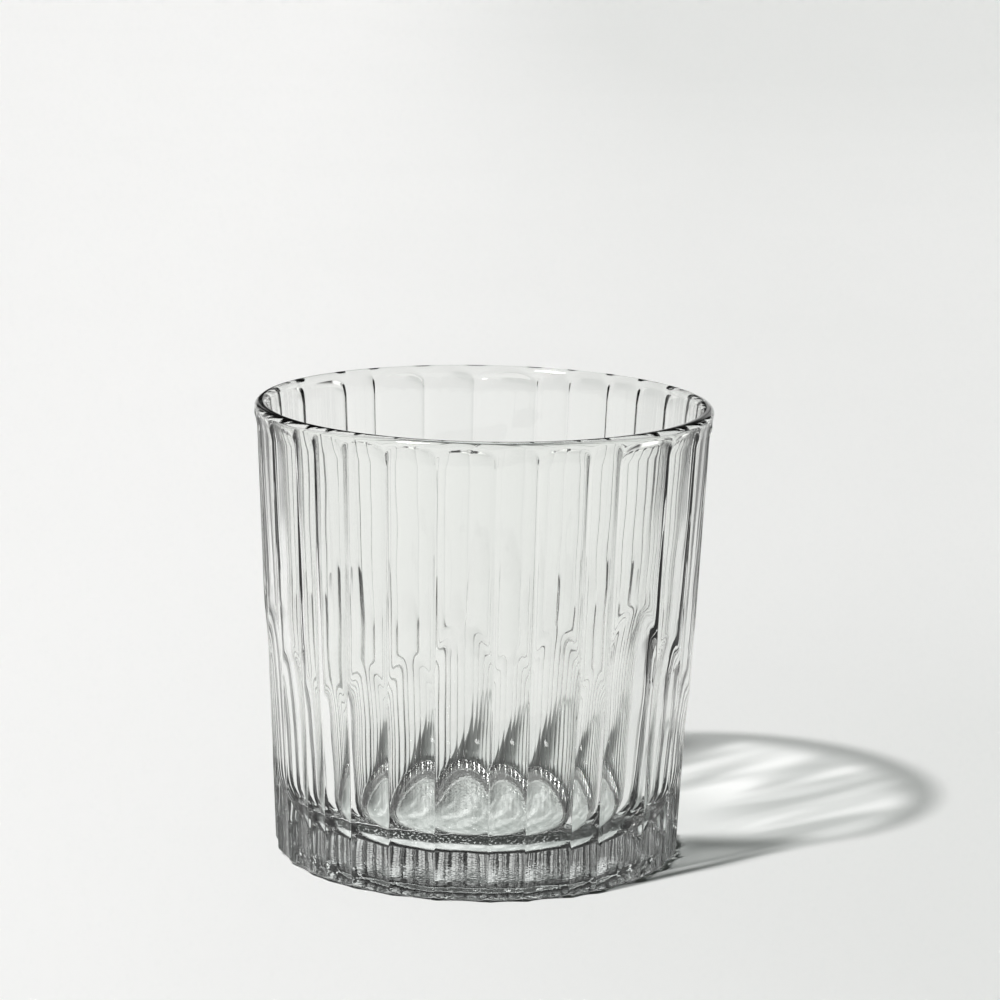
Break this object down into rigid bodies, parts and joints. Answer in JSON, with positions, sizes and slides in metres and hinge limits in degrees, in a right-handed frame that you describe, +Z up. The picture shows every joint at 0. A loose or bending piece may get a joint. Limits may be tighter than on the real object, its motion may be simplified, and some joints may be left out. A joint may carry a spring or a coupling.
{
  "type": "juice glass",
  "caption": "Clear pressed tumbler with a round lip, flat upright panels of uneven width, arched flutes in the lower half and a thick clear base.",
  "frame": {"origin": "middle of the foot, in the plane of the table the glass stands on", "axes": "+Z up along the axis of the glass, towards the lip; the side seen in the picture faces -Y; +X to the right in the picture"},
  "size_m": [0.08, 0.08, 0.08],
  "materials": {
    "clear_glass": "clear pressed soda-lime glass, fire-polished and glossy"
  },
  "bodies": {
    "root": {"lip_ring": "clear_glass", "panelled_wall": "clear_glass", "base": "clear_glass"}
  },
  "joints": []
}
